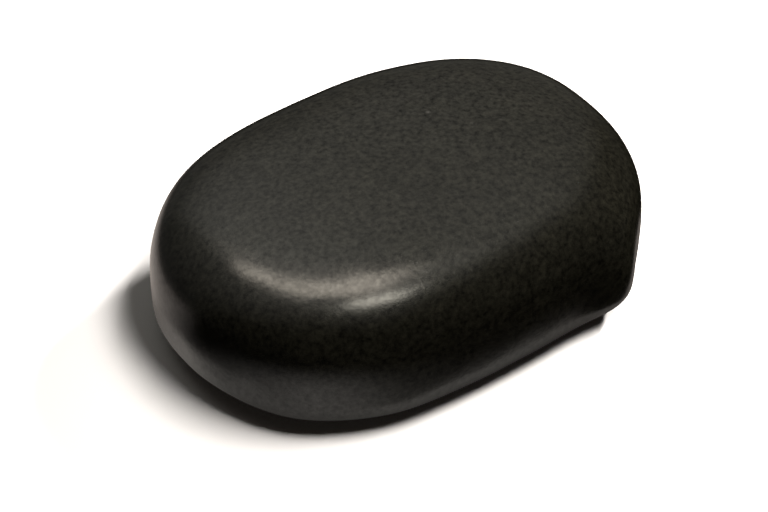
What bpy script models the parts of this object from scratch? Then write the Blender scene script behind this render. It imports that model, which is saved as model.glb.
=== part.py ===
"""River pebble: one water-worn basalt stone that lies on its flatter side.

Metres, +Z up. The length runs along X and the width along Y. The origin is at the
bottom centre of the stone's bounding box, in the plane of the worn flat under it.
"""
import math

import bmesh
import bpy
from mathutils import Vector

# The stone's widest level, seen from above: an oval with full, squarish ends.
HALF_LENGTH = 0.0396
HALF_WIDTH = 0.0289
PLAN_POWER = 2.48

# Its side section: a broad crown above the widest level and a shallow belly below.
CROWN_HEIGHT = 0.01885
BELLY_DEPTH = 0.0077
CROWN_POWER = 3.23
BELLY_POWER = 3.46

# The flat that the stone has worn on the lowest part of its belly.
WORN_DEPTH = 0.0003

# Long waves of the outline: waves in a turn, then cosine and sine shares of the radius.
OUTLINE_WAVES = (
    (2, 0.006, 0.017),
    (3, -0.002, 0.002),
    (4, 0.001, 0.002),
    (5, 0.002, 0.004),
)

# Blunt corners left from the broken edges of the first block: direction in degrees
# from +X, half width in degrees, and share of the radius that each one stands out.
BLUNT_CORNERS = (
    (-58.0, 11.0, 0.034),
    (125.0, 14.0, 0.021),
)

# Squares along each edge of the starting cube, and how far the grid is flattened
# before it is laid over the stone, which spreads the squares evenly.
GRID = 24
GRID_FLATTENING = 0.7


def outline_share(angle):
    """How far the outline stands out of the plain oval, in a direction from +X."""
    share = 0.0
    for waves, cosine, sine in OUTLINE_WAVES:
        share += cosine * math.cos(waves * angle) + sine * math.sin(waves * angle)
    for direction, half_width, height in BLUNT_CORNERS:
        turn = angle - math.radians(direction)
        turn = math.atan2(math.sin(turn), math.cos(turn))
        share += height * math.exp(-((turn / math.radians(half_width)) ** 2))
    return share


def stone_point(direction):
    """The point of the stone's skin that lies in a direction from its middle."""
    if direction.z > 0.0:
        height = CROWN_HEIGHT
        power = CROWN_POWER
    else:
        height = BELLY_DEPTH
        power = BELLY_POWER
    across = abs(direction.x / HALF_LENGTH) ** PLAN_POWER
    across += abs(direction.y / HALF_WIDTH) ** PLAN_POWER
    across = across ** (1.0 / PLAN_POWER)
    reach = (across ** power + abs(direction.z / height) ** power) ** (-1.0 / power)
    point = direction * reach
    angle = math.atan2(point.y / HALF_WIDTH, point.x / HALF_LENGTH)
    from_axis = min(math.hypot(point.x / HALF_LENGTH, point.y / HALF_WIDTH), 1.0)
    spread = 1.0 + outline_share(angle) * from_axis
    return Vector((point.x * spread, point.y * spread, max(point.z, WORN_DEPTH - BELLY_DEPTH)))


def build_stone(bm):
    """A finely divided cube, drawn out over the stone and stood on its worn flat."""
    bmesh.ops.create_cube(bm, size=2.0)
    bmesh.ops.subdivide_edges(bm, edges=bm.edges[:], cuts=GRID - 1, use_grid_fill=True)
    quarter = math.pi / 4.0
    for vert in bm.verts:
        direction = Vector((
            HALF_LENGTH * math.tan(vert.co.x * quarter),
            HALF_WIDTH * math.tan(vert.co.y * quarter),
            HALF_WIDTH * GRID_FLATTENING * math.tan(vert.co.z * quarter),
        ))
        vert.co = stone_point(direction.normalized())
    middle_x = 0.5 * (min(v.co.x for v in bm.verts) + max(v.co.x for v in bm.verts))
    middle_y = 0.5 * (min(v.co.y for v in bm.verts) + max(v.co.y for v in bm.verts))
    lowest = min(v.co.z for v in bm.verts)
    bmesh.ops.translate(bm, verts=bm.verts[:], vec=(-middle_x, -middle_y, -lowest))


def basalt_material():
    """Nearly black stone, tumbled smooth, with a dull sheen."""
    material = bpy.data.materials.new("basalt")
    material.use_nodes = True
    shader = material.node_tree.nodes["Principled BSDF"]
    shader.inputs["Base Color"].default_value = (0.035, 0.034, 0.031, 1.0)
    shader.inputs["Roughness"].default_value = 0.4
    shader.inputs["Metallic"].default_value = 0.0
    return material


def main():
    for old in list(bpy.data.objects):
        bpy.data.objects.remove(old, do_unlink=True)

    collection = bpy.data.collections.new("river_pebble")
    bpy.context.scene.collection.children.link(collection)

    mesh = bpy.data.meshes.new("pebble")
    bm = bmesh.new()
    build_stone(bm)
    bm.to_mesh(mesh)
    bm.free()
    mesh.shade_smooth()
    mesh.materials.append(basalt_material())

    pebble = bpy.data.objects.new("pebble", mesh)
    collection.objects.link(pebble)


main()
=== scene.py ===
"""River pebble: a water-worn basalt stone on a white floor, under soft overhead lights.

The numbers of its form, the camera, the paper, the lights and the room were found by
least-squares fits to a picture of the stone, then rounded and partly changed.
The stone's tones and grain were given one by one.
"""

import math

import bmesh
import bpy
import numpy as np
from mathutils import Matrix, Vector


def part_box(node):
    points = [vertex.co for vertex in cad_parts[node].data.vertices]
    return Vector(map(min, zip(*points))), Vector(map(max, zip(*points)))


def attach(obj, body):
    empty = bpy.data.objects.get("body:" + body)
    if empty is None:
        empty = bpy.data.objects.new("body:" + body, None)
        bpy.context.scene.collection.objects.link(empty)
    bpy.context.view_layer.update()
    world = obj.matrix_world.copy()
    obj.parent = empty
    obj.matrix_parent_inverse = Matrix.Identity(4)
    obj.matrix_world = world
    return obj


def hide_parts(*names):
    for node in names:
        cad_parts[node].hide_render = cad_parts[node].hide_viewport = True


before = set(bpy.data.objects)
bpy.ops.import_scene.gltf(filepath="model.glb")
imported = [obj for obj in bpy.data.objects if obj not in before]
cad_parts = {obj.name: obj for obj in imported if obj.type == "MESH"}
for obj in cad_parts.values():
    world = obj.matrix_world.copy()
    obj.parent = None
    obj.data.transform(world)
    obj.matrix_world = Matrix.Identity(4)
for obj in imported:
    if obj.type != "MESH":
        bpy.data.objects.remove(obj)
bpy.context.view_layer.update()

NODE = "pebble"
BODY = "root"

low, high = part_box(NODE)
LENGTH = high.x - low.x
WIDTH = high.y - low.y
HEIGHT = high.z - low.z
MM = 0.001

# The stone's form as shares of its length: a full oval in plan, a broad crown above
# its widest level and a shallow belly below, with a small flat worn under it.
HALF_LENGTH = 0.495 * LENGTH
HALF_WIDTH = 0.36125 * LENGTH
CROWN_HEIGHT = 0.23563 * LENGTH
BELLY_DEPTH = 0.09625 * LENGTH
WORN_DEPTH = 0.00375 * LENGTH
PLAN_POWER = 2.48
CROWN_POWER = 3.23
BELLY_POWER = 3.46

# Long waves of the outline: waves in a turn, then cosine and sine shares of the radius.
OUTLINE_WAVES = (
    (2, 0.006, 0.017),
    (3, -0.002, 0.002),
    (4, 0.001, 0.002),
    (5, 0.002, 0.004),
)

# Blunt corners: direction and half width in degrees, and share of the radius.
BLUNT_CORNERS = (
    (-58.0, 11.0, 0.034),
    (125.0, 14.0, 0.021),
)

# A low corner, in the same numbers. It draws in again between the foot's height and
# the bottom of the belly.
LOW_CORNER = ((-61.5, 6.8, 0.042),)
FOOT_HEIGHT = 0.08 * LENGTH

# Wear low on the sides, in the same numbers: a slight fullness and a cheek worn back.
# The low corner and the wear both fade out at this height over the widest level.
LOW_WEAR = (
    (-118.0, 9.0, 0.007),
    (-155.0, 16.0, -0.018),
)
WEAR_HEIGHT = 0.15 * LENGTH

# Squares along each edge of the starting cube, and how far the grid is flattened
# before it is laid over the stone.
GRID = 126
GRID_FLATTENING = 0.7

# Relief of the worn skin: mean wavelength, height and number of waves. The single
# wavelengths lie between these shares of the mean, and the relief fades out over this
# height down to the worn flat.
RELIEF = (
    (17.0 * MM, 0.030 * MM, 28),
    (6.0 * MM, 0.006 * MM, 60),
)
WAVELENGTH_RANGE = (0.7, 1.5)
RELIEF_SEED = 40
RELIEF_FADE = 1.5 * MM

# Patterns in the stone: waves in a millimetre, octaves and roughness.
GRAIN = (1.25, 2.0, 0.6)
MOTTLE = (0.42, 2.0, 0.6)
CLOUD = (0.11, 3.0, 0.55)
SHEEN = (0.9, 3.0, 0.6)
PITTING = (1.9, 3.0, 0.6)
PIT_DEPTH = 0.014 * MM

# Every ramp here and below has the two ends that it runs between, then its values at
# them. These turn the patterns into shares, brightness and roughness.
GRAIN_RAMP = (0.28, 0.78, 0.0, 1.0)
MOTTLE_RAMP = (0.28, 0.72, 0.82, 1.18)
CLOUD_RAMP = (0.3, 0.7, 0.85, 1.15)
ROUGHNESS_RAMP = (0.25, 0.75, 0.185, 0.245)

DARK_GRAIN = (0.0019, 0.0018, 0.0013, 1.0)
PALE_GRAIN = (0.0091, 0.0087, 0.0060, 1.0)

# How strongly the stone mirrors, and how much more the paler grains do, by millimetres
# from the stone's middle to its far side.
MEAN_GRAIN = 0.53
MEAN_MIRROR = 0.51
GRAIN_MIRROR_RAMP = (-12.0, 20.0, 0.56, 1.30)

# Small pale chips on the top: place as shares of the length, reach and strength.
CHIPS = (
    ((0.1056, 0.0620, 0.3272), 0.56 * MM, 1.0),
    ((0.2072, -0.0330, 0.3234), 0.50 * MM, 0.4),
    ((0.1520, -0.0143, 0.3264), 0.50 * MM, 0.3),
)
CHIP_TONE = (0.028, 0.027, 0.024, 1.0)

# The camera, as azimuth and elevation round the stone. It looks at a point at this
# height over the stone's middle, moved right and up across its picture.
VIEW_AZIMUTH = math.radians(-35.57)
VIEW_ELEVATION = math.radians(40.01)
VIEW_DISTANCE = 3.51 * LENGTH
VIEW_LENS = 85.85
VIEW_MIDDLE = 0.163 * LENGTH
VIEW_RIGHT = -0.03425 * LENGTH
VIEW_UP = -0.077 * LENGTH
VIEW_NEAREST = 0.01
VIEW_FARTHEST = 20.0

# Directions on the floor as the camera sees them.
TOWARD = Vector((math.sin(VIEW_AZIMUTH), -math.cos(VIEW_AZIMUTH), 0.0))
RIGHT = Vector((math.cos(VIEW_AZIMUTH), math.sin(VIEW_AZIMUTH), 0.0))
UP = Vector((0.0, 0.0, 1.0))

# The floor, and the glowing paper just under it that only the stone mirrors, with its light and
# shade painted on.
FLOOR_TONE = 0.93
FLOOR_REACH = 50.0 * LENGTH
FLOOR_SQUARES = 8
FLOOR_DROP = 0.02 * MM
PAPER_REACH = 1.2 * LENGTH
PAPER_SIDES = 96
PAPER_DROP = 0.04 * MM

# A painted collar of light lies round the stone on the glowing paper. Its brightness rises toward
# the camera and at one spot, and it is narrower one way. Its edge fades between two shares
# of its reach.
COLLAR_REACH = 6.44 * MM
COLLAR_EDGE = (0.92 * COLLAR_REACH, 1.15 * COLLAR_REACH, 1.0, 0.0)
COLLAR_FRONT = (-0.16, 1.54, 0.39, 0.98)
NARROW_WAY = TOWARD * 0.571 - RIGHT * 0.821
NARROW_PART = (0.955, 0.995, 0.0, 1.15 * MM)

# The painted spot of light, as place (toward, right), reach and strength. Two painted pools of
# light beyond the collar have the same numbers, then how far toward the camera they end. They fade
# out over this distance before and after that line.
SPOT = (22.0 * MM, -38.5 * MM, 9.0 * MM, 0.46)
POOLS = (
    (40.5 * MM, -12.5 * MM, 16.5 * MM, 0.84, 90.0 * MM),
    (-5.7 * MM, -57.0 * MM, 30.0 * MM, 0.80, 19.5 * MM),
)
LINE_SOFTNESS = 7.5 * MM

# Painted shade darkens the paper's glow under the stone's rim, and a painted glow lights it again
# nearer its middle. Both ramps run by the distance outside the stone's plain oval.
PAINTED_RIM_SHADE = (-4.1 * MM, 8.2 * MM, 0.0, 1.0)
PAINTED_MIDDLE_GLOW = (-9.5 * MM, -4.6 * MM, 0.6, 0.0)

# The paper's light is a little rosier beside and behind the stone than in front of it.
SIDE_TINT = (1.0, 0.885, 0.80, 1.0)
FRONT_TINT = (1.0, 0.945, 0.875, 1.0)
TINT_RAMP = (0.1, 0.7, 0.0, 1.0)

# Colours of the lights.
WARM = (1.0, 0.95, 0.81)
ROSY = (1.0, 0.90, 0.757)
WHITE = (1.0, 0.947, 0.90)

# Overhead strips that the stone mirrors: place (toward, right), turn in degrees from
# the camera's right, size (width, depth), radiance and colour. Places and sizes of all
# the lights are shares of their height over the floor.
STRIP_HEIGHT = 7.5 * LENGTH
STRIPS = (
    ("strip_softbox", (0.077, 0.018), 8.4, (0.610, 0.232), 6.6, ROSY),
    ("faint_softbox", (0.035, 0.50), 8.8, (0.34, 0.17), 0.80, WARM),
    ("side_softbox", (-0.155, -0.501), 36.5, (0.69, 0.163), 5.95, ROSY),
    ("bar_softbox", (0.413, 0.325), 3.5, (0.434, 0.140), 14.4, WARM),
)

# Lights for the floor and the stone's own tone: height, place, turn and size, then
# strength as a share of white on the floor.
FLOOR_LIGHTS = (
    ("front_softbox", 3.75 * LENGTH, (0.194, 0.369), 13.0, (0.30, 0.56), 1.27),
    ("rear_softbox", 6.25 * LENGTH, (-0.984, 1.012), 20.0, (0.12, 0.65), 0.90),
    ("top_softbox", 6.25 * LENGTH, (0.029, -0.185), -8.0, (0.92, 0.53), 0.022),
)

# The even light that fills the shadow, as a share of white, the light that the paper
# throws up under the stone, and the ramp between them by height in the room.
FAINT = 0.013
BOUNCE = 0.15
FILL_RAMP = (-0.05, 0.0, BOUNCE, FAINT)
FILL_COLOUR = (1.0, 0.75, 0.58, 1.0)

# The room that the stone mirrors brightens from the floor's edge to straight overhead
# by a power of the height, and ends a little below the floor.
ROOM_COLOUR = (1.0, 0.985, 0.91, 1.0)
ROOM_POWER = 2.04
ROOM_RISE = 1.08
ROOM_EDGE = 0.110
ROOM_FLOOR = (-0.30, -0.15, 0.0, 1.0)

# It is shaped by ramps over a flat round map of the sky, with straight up in its middle
# and the floor's edge at radius 1: a glow at the left, which ends at a slanted line, a
# fall at the right, a slanted front edge, and a tilt from left to right at the back.
LEFT_GLOW = (-0.297, 0.085, 1.351, 0.686)
LEFT_SLANT = -0.7
LEFT_EDGE = (-0.271, -0.118)
LEFT_BEYOND = (-0.85, -0.50, 0.55, 0.36)
RIGHT_FALL = (0.308, 0.444, 1.0, 0.19)
FRONT_SLANT = -0.284
FRONT_FALL = (-0.05, 0.546, 1.0, 0.045)
BACK_TILT = (-0.20, 0.10, -0.35, 0.35)
BACK_PART = (-0.55, -0.78, 0.0, 1.0)


def swelling(angle, forms):
    """How far single swellings stand out of the outline, in directions from +X."""
    share = np.zeros_like(angle)
    for direction, half_width, height in forms:
        turn = np.angle(np.exp(1j * (angle - math.radians(direction))))
        share += height * np.exp(-((turn / math.radians(half_width)) ** 2))
    return share


def outline_share(angle):
    """How far the outline stands out of the plain oval, in directions from +X."""
    share = swelling(angle, BLUNT_CORNERS)
    for waves, cosine, sine in OUTLINE_WAVES:
        share += cosine * np.cos(waves * angle) + sine * np.sin(waves * angle)
    return share


def smooth_share(share):
    """A soft step from 0 to 1 as the share goes from 0 to 1."""
    share = np.clip(share, 0.0, 1.0)
    return share ** 2 * (3.0 - 2.0 * share)


def skin_points(direction):
    """Points of the smooth stone's skin, in unit directions from its middle."""
    crown = direction[:, 2] > 0.0
    height = np.where(crown, CROWN_HEIGHT, BELLY_DEPTH)
    power = np.where(crown, CROWN_POWER, BELLY_POWER)
    across = np.abs(direction[:, 0] / HALF_LENGTH) ** PLAN_POWER
    across += np.abs(direction[:, 1] / HALF_WIDTH) ** PLAN_POWER
    across = across ** (1.0 / PLAN_POWER)
    reach = (across ** power + np.abs(direction[:, 2] / height) ** power) ** (-1.0 / power)
    points = direction * reach[:, None]
    along = points[:, 0] / HALF_LENGTH
    aside = points[:, 1] / HALF_WIDTH
    from_axis = np.minimum(np.hypot(along, aside), 1.0)
    angle = np.arctan2(aside, along)
    foot = smooth_share((points[:, 2] + BELLY_DEPTH) / FOOT_HEIGHT)
    worn = swelling(angle, LOW_WEAR) + swelling(angle, LOW_CORNER) * foot
    worn *= 1.0 - smooth_share(points[:, 2] / WEAR_HEIGHT)
    spread = 1.0 + (outline_share(angle) + worn) * from_axis
    points[:, :2] *= spread[:, None]
    points[:, 2] = np.maximum(points[:, 2], WORN_DEPTH - BELLY_DEPTH)
    return points


def waves_over(points, wavelength, count, seed):
    """A smooth random height of unit spread over points, from crossing waves."""
    rng = np.random.default_rng(seed)
    facing = rng.normal(size=(count, 3))
    facing /= np.linalg.norm(facing, axis=1)[:, None]
    pitch = 2.0 * math.pi / (wavelength * rng.uniform(*WAVELENGTH_RANGE, count))
    phase = rng.uniform(0.0, 2.0 * math.pi, count)
    height = np.zeros(len(points))
    for way, turns, start in zip(facing, pitch, phase):
        height += np.sin(points @ way * turns + start)
    return height * math.sqrt(2.0 / count)


def fit_to_box(points):
    """The points, stretched very slightly so that they fill the solid's own box."""
    lowest = points.min(axis=0)
    highest = points.max(axis=0)
    size = np.array((LENGTH, WIDTH, HEIGHT))
    return (points - lowest) / (highest - lowest) * size + np.array(low)


def new_object(name, bm, material):
    """An object in the scene, with its mesh from bm and its one material."""
    mesh = bpy.data.meshes.new(name)
    bm.to_mesh(mesh)
    bm.free()
    mesh.materials.append(material)
    thing = bpy.data.objects.new(name, mesh)
    bpy.context.scene.collection.objects.link(thing)
    return thing


def make_stone():
    """A finely divided cube, drawn out over the stone's form and its relief."""
    bm = bmesh.new()
    bmesh.ops.create_cube(bm, size=2.0)
    bmesh.ops.subdivide_edges(bm, edges=bm.edges[:], cuts=GRID - 1, use_grid_fill=True)
    stone = new_object("basalt_stone", bm, basalt_material())
    mesh = stone.data

    count = len(mesh.vertices)
    cube = np.empty(count * 3)
    mesh.vertices.foreach_get("co", cube)
    direction = np.tan(cube.reshape(count, 3) * math.pi / 4.0)
    direction *= np.array((HALF_LENGTH, HALF_WIDTH, HALF_WIDTH * GRID_FLATTENING))
    direction /= np.linalg.norm(direction, axis=1)[:, None]
    points = skin_points(direction)
    mesh.vertices.foreach_set("co", points.ravel())
    mesh.update()

    normals = np.empty(count * 3)
    mesh.vertex_normals.foreach_get("vector", normals)
    normals = normals.reshape(count, 3)
    above_flat = points[:, 2] - points[:, 2].min()
    kept = np.clip(above_flat / RELIEF_FADE, 0.0, 1.0)
    lift = np.zeros(count)
    for number, (wavelength, height, waves) in enumerate(RELIEF):
        lift += height * waves_over(points, wavelength, waves, RELIEF_SEED + number)
    points = points + normals * (lift * kept)[:, None]
    points = fit_to_box(points)
    mesh.vertices.foreach_set("co", points.ravel())
    mesh.update()
    mesh.shade_smooth()
    return stone


class Nodes:
    """Short calls for building a node tree."""

    def __init__(self, tree):
        self.tree = tree
        tree.nodes.clear()

    def add(self, kind, settings=None, **inputs):
        """A new node, with its inputs set by name and _ for each space in a name."""
        node = self.tree.nodes.new(kind)
        for name, value in (settings or {}).items():
            setattr(node, name, value)
        for name, value in inputs.items():
            self.put(node, name.replace("_", " "), value)
        return node

    def put(self, node, place, value):
        """Give an input, found by name or number, its value or the socket that feeds it."""
        socket = node.inputs[place]
        if isinstance(value, bpy.types.NodeSocket):
            self.tree.links.new(value, socket)
        else:
            socket.default_value = value

    def feed(self, node, *values):
        """Give a node its first inputs in order, and get its first output."""
        for number, value in enumerate(values):
            self.put(node, number, value)
        return node.outputs[0]

    def math(self, operation, first, second=0.0, third=0.0):
        node = self.add("ShaderNodeMath", {"operation": operation})
        return self.feed(node, first, second, third)

    def ramp(self, value, ends, smooth=False):
        """Follow a ramp, given as its two ends and its values at them."""
        kind = "SMOOTHSTEP" if smooth else "LINEAR"
        node = self.add("ShaderNodeMapRange", {"interpolation_type": kind, "clamp": True})
        return self.feed(node, value, *ends)

    def noise(self, place, scale, detail, roughness):
        node = self.add("ShaderNodeTexNoise", Vector=place, Scale=scale, Detail=detail,
                        Roughness=roughness)
        return node.outputs[0]

    def blend(self, share, first, second):
        """The first colour, or the second where the share is 1."""
        node = self.add("ShaderNodeMix", {"data_type": "RGBA"})
        self.put(node, 0, share)
        self.put(node, 6, first)
        self.put(node, 7, second)
        return node.outputs[2]

    def either(self, share, first, second):
        """The first shader, or the second where the share is 1."""
        return self.feed(self.add("ShaderNodeMixShader"), share, first, second)

    def scaled(self, vector, factor):
        node = self.add("ShaderNodeVectorMath", {"operation": "SCALE"}, Scale=factor)
        return self.feed(node, vector)

    def normal(self, vector):
        return self.feed(self.add("ShaderNodeVectorMath", {"operation": "NORMALIZE"}), vector)

    def compare(self, operation, first, second):
        """One number from two vectors: their DISTANCE or their DOT_PRODUCT."""
        node = self.add("ShaderNodeVectorMath", {"operation": operation})
        self.feed(node, first, second)
        return node.outputs["Value"]


def node_material(name):
    """A material with an empty node tree: the material, its nodes and its output node."""
    material = bpy.data.materials.new(name)
    material.use_nodes = True
    n = Nodes(material.node_tree)
    return material, n, n.add("ShaderNodeOutputMaterial")


def basalt_material():
    """Nearly black stone with a fine paler grain, worn to a soft shine."""
    material, n, out = node_material("basalt")
    shader = n.add("ShaderNodeBsdfPrincipled")
    n.put(out, "Surface", shader.outputs[0])

    # Places on the stone, in metres and then in millimetres.
    where = n.add("ShaderNodeTexCoord").outputs["Object"]
    place = n.scaled(where, 1.0 / MM)

    # Dark and paler mineral grains, mottled in patches a few millimetres wide and
    # clouded over the whole stone, with a few small pale chips.
    grain = n.noise(place, *GRAIN)
    tone = n.blend(n.ramp(grain, GRAIN_RAMP), DARK_GRAIN, PALE_GRAIN)
    mottled = n.ramp(n.noise(place, *MOTTLE), MOTTLE_RAMP)
    cloudy = n.ramp(n.noise(place, *CLOUD), CLOUD_RAMP)
    colour = n.scaled(tone, n.math("MULTIPLY", mottled, cloudy))
    for spot, reach, strength in CHIPS:
        apart = n.compare("DISTANCE", where, Vector(spot) * LENGTH)
        chipped = n.ramp(apart, (0.0, reach, strength, 0.0), smooth=True)
        colour = n.blend(chipped, colour, CHIP_TONE)
    n.put(shader, "Base Color", colour)

    # The paler grains mirror a little more, and most of all on the far side.
    beyond = n.compare("DOT_PRODUCT", place, -TOWARD)
    swing = n.ramp(beyond, GRAIN_MIRROR_RAMP, smooth=True)
    paler = n.math("SUBTRACT", grain, MEAN_GRAIN)
    n.put(shader, "Specular IOR Level", n.math("MULTIPLY_ADD", paler, swing, MEAN_MIRROR))

    n.put(shader, "Roughness", n.ramp(n.noise(place, *SHEEN), ROUGHNESS_RAMP))
    shader.inputs["IOR"].default_value = 1.5

    pits = n.noise(place, *PITTING)
    bump = n.add("ShaderNodeBump", Strength=1.0, Distance=PIT_DEPTH, Height=pits)
    n.put(shader, "Normal", bump.outputs[0])
    return material


def floor_material():
    """White paper, clear when it is seen from below."""
    material, n, out = node_material("white_floor")
    white = n.add("ShaderNodeBsdfDiffuse", Color=(FLOOR_TONE, FLOOR_TONE, FLOOR_TONE, 1.0))
    clear = n.add("ShaderNodeBsdfTransparent")
    below = n.add("ShaderNodeNewGeometry").outputs["Backfacing"]
    n.put(out, "Surface", n.either(below, white.outputs[0], clear.outputs[0]))
    return material


def make_floor():
    """The white floor, which catches the shadow and has no effect on the stone."""
    bm = bmesh.new()
    bmesh.ops.create_grid(bm, x_segments=FLOOR_SQUARES, y_segments=FLOOR_SQUARES, size=FLOOR_REACH)
    bmesh.ops.translate(bm, verts=bm.verts[:], vec=(0.0, 0.0, low.z - FLOOR_DROP))
    floor = new_object("floor", bm, floor_material())
    floor.visible_glossy = False
    floor.visible_diffuse = False
    floor.visible_shadow = False


def paper_material():
    """Glowing paper, painted with a bright collar of light round the stone and pools of light
    beyond it.
    """
    material, n, out = node_material("painted_light_paper")
    where = n.add("ShaderNodeTexCoord").outputs["Object"]
    parts = n.add("ShaderNodeSeparateXYZ", Vector=where)

    # How far a place lies outside the stone's plain oval.
    powers = []
    for axis, half in (("X", HALF_LENGTH), ("Y", HALF_WIDTH)):
        share = n.math("ABSOLUTE", n.math("DIVIDE", parts.outputs[axis], half))
        powers.append(n.math("POWER", share, PLAN_POWER))
    ring = n.math("POWER", n.math("ADD", *powers), 1.0 / PLAN_POWER)
    mean_radius = 0.5 * (HALF_LENGTH + HALF_WIDTH)
    apart = n.math("MULTIPLY", n.math("SUBTRACT", ring, 1.0), mean_radius)

    def pool(toward, right, reach, strength):
        """A round painted pool of light that fades away from its middle."""
        distance = n.compare("DISTANCE", where, TOWARD * toward + RIGHT * right)
        distance = n.math("DIVIDE", distance, reach)
        fade = n.math("MULTIPLY", n.math("POWER", distance, 2.0), -1.0)
        return n.math("MULTIPLY", n.math("EXPONENT", fade), strength)

    # The painted collar of light, with its painted spot and its narrower part.
    way = n.normal(where)
    facing = n.compare("DOT_PRODUCT", way, TOWARD)
    front = n.ramp(facing, COLLAR_FRONT, smooth=True)
    narrowed = n.ramp(n.compare("DOT_PRODUCT", way, NARROW_WAY), NARROW_PART, smooth=True)
    collar = n.ramp(n.math("ADD", apart, narrowed), COLLAR_EDGE, smooth=True)
    glow = n.math("MULTIPLY", collar, n.math("ADD", front, pool(*SPOT)))

    ahead = n.compare("DOT_PRODUCT", where, TOWARD)
    for toward, right, reach, strength, line in POOLS:
        line_ramp = (line - LINE_SOFTNESS, line + LINE_SOFTNESS, 1.0, 0.0)
        within = n.ramp(ahead, line_ramp, smooth=True)
        lit = n.math("MULTIPLY", pool(toward, right, reach, strength), within)
        glow = n.math("MAXIMUM", glow, lit)

    # Painted shade under the stone's rim, and a painted glow under its middle.
    glow = n.math("MULTIPLY", glow, n.ramp(apart, PAINTED_RIM_SHADE, smooth=True))
    glow = n.math("ADD", glow, n.ramp(apart, PAINTED_MIDDLE_GLOW, smooth=True))
    tint = n.blend(n.ramp(facing, TINT_RAMP), SIDE_TINT, FRONT_TINT)
    light = n.add("ShaderNodeEmission", Color=tint, Strength=glow)
    n.put(out, "Surface", light.outputs[0])
    return material


def make_paper():
    """The glowing paper just under the floor, painted with light and shade, which only the stone
    mirrors.
    """
    bm = bmesh.new()
    bmesh.ops.create_circle(bm, cap_ends=True, segments=PAPER_SIDES, radius=PAPER_REACH)
    paper = new_object("painted_light_paper", bm, paper_material())
    paper.location = UP * (low.z - PAPER_DROP)
    paper.visible_camera = False
    paper.visible_diffuse = False
    paper.visible_shadow = False


def make_camera():
    """The camera, which looks down at the stone from one of its long sides."""
    middle = Vector((0.5 * (low.x + high.x), 0.5 * (low.y + high.y), low.z + VIEW_MIDDLE))
    back = TOWARD * math.cos(VIEW_ELEVATION) + UP * math.sin(VIEW_ELEVATION)
    above = back.cross(RIGHT)
    target = middle + RIGHT * VIEW_RIGHT + above * VIEW_UP
    data = bpy.data.cameras.new("camera")
    data.lens = VIEW_LENS
    data.clip_start = VIEW_NEAREST
    data.clip_end = VIEW_FARTHEST
    camera = bpy.data.objects.new("camera", data)
    camera.location = target + back * VIEW_DISTANCE
    camera.rotation_euler = back.to_track_quat("Z", "Y").to_euler()
    bpy.context.scene.collection.objects.link(camera)
    bpy.context.scene.camera = camera


def overhead(place, height):
    """The point over a place on the floor, both in shares of the height."""
    toward, right = place
    return (TOWARD * toward + RIGHT * right + UP) * height


def panel_light(name, height, place, turn, size, radiance, colour):
    """A level light panel that shines straight down."""
    wide = size[0] * height
    deep = size[1] * height
    data = bpy.data.lights.new(name, "AREA")
    data.shape = "RECTANGLE"
    data.size = wide
    data.size_y = deep
    data.energy = radiance * math.pi * wide * deep
    data.color = colour
    light = bpy.data.objects.new(name, data)
    bpy.context.scene.collection.objects.link(light)
    turn = math.radians(turn)
    across = RIGHT * math.cos(turn) + TOWARD * math.sin(turn)
    turned = Matrix((across, UP.cross(across), UP)).transposed()
    light.matrix_world = Matrix.Translation(overhead(place, height)) @ turned.to_4x4()
    light.visible_camera = False
    return light


def soft_strip(name, place, turn, size, radiance, colour):
    """An overhead light that the stone mirrors, and that lights nothing otherwise."""
    light = panel_light(name, STRIP_HEIGHT, place, turn, size, radiance, colour)
    light.visible_diffuse = False


def floor_light(name, height, place, turn, size, strength):
    """A soft light for the floor and the stone's own tone, which the stone doesn't mirror."""
    facing = height / overhead(place, height).length
    share = size[0] * size[1] * facing ** 4 / math.pi * FLOOR_TONE
    light = panel_light(name, height, place, turn, size, strength / share, WHITE)
    light.visible_glossy = False


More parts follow.
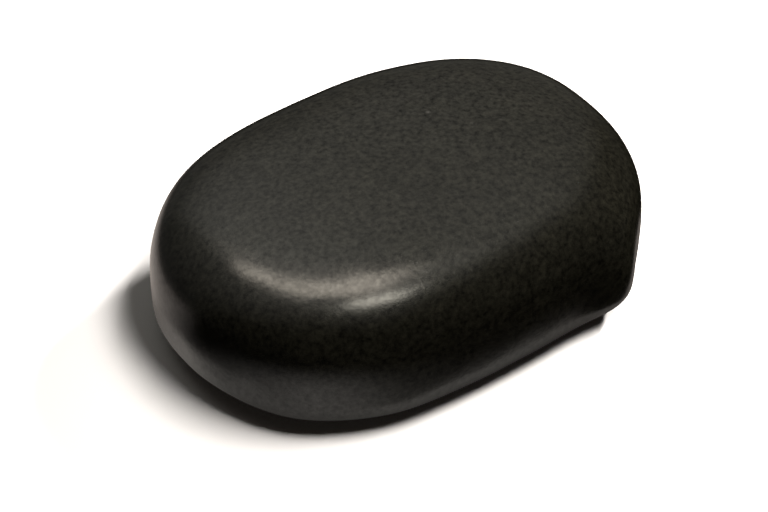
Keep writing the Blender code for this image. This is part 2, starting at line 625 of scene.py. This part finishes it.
def make_world():
    """White behind the floor for the camera. For the stone it is a room, dim in front."""
    world = bpy.data.worlds.new("room")
    bpy.context.scene.world = world
    world.use_nodes = True
    n = Nodes(world.node_tree)
    out = n.add("ShaderNodeOutputWorld")
    way = n.add("ShaderNodeTexCoord").outputs["Generated"]
    upward = n.add("ShaderNodeSeparateXYZ", Vector=way).outputs["Z"]

    # Places on the flat map of the sky.
    height = n.math("MAXIMUM", upward, 0.0)
    shrink = n.math("DIVIDE", 1.0, n.math("ADD", height, 1.0))
    right = n.math("MULTIPLY", n.compare("DOT_PRODUCT", way, RIGHT), shrink)
    toward = n.math("MULTIPLY", n.compare("DOT_PRODUCT", way, TOWARD), shrink)

    left_way = n.math("MULTIPLY_ADD", toward, LEFT_SLANT, right)
    left_edge = (*LEFT_EDGE, n.ramp(right, LEFT_BEYOND), 1.0)
    front_way = n.math("MULTIPLY_ADD", right, FRONT_SLANT, toward)
    tilt = n.ramp(right, BACK_TILT)
    shapes = (
        n.ramp(right, LEFT_GLOW),
        n.ramp(right, RIGHT_FALL),
        n.ramp(left_way, left_edge, smooth=True),
        n.ramp(front_way, FRONT_FALL, smooth=True),
        n.math("MULTIPLY_ADD", tilt, n.ramp(toward, BACK_PART), 1.0),
        n.ramp(upward, ROOM_FLOOR),
    )
    radiance = n.math("MULTIPLY_ADD", n.math("POWER", height, ROOM_POWER), ROOM_RISE, ROOM_EDGE)
    for shape in shapes:
        radiance = n.math("MULTIPLY", radiance, shape)

    path = n.add("ShaderNodeLightPath")
    room = n.add("ShaderNodeBackground", Color=ROOM_COLOUR, Strength=radiance)
    faint = n.add("ShaderNodeBackground", Color=FILL_COLOUR, Strength=n.ramp(upward, FILL_RAMP))
    filled = n.either(path.outputs["Is Diffuse Ray"], room.outputs[0], faint.outputs[0])
    white = n.add("ShaderNodeBackground", Color=(1.0, 1.0, 1.0, 1.0), Strength=1.0)
    seen = n.either(path.outputs["Is Camera Ray"], filled, white.outputs[0])
    n.put(out, "Surface", seen)


make_camera()
stone = make_stone()
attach(stone, BODY)
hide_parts(NODE)

make_floor()
make_paper()
for strip in STRIPS:
    soft_strip(*strip)
for light in FLOOR_LIGHTS:
    floor_light(*light)
make_world()
bpy.context.scene.view_settings.view_transform = "Standard"
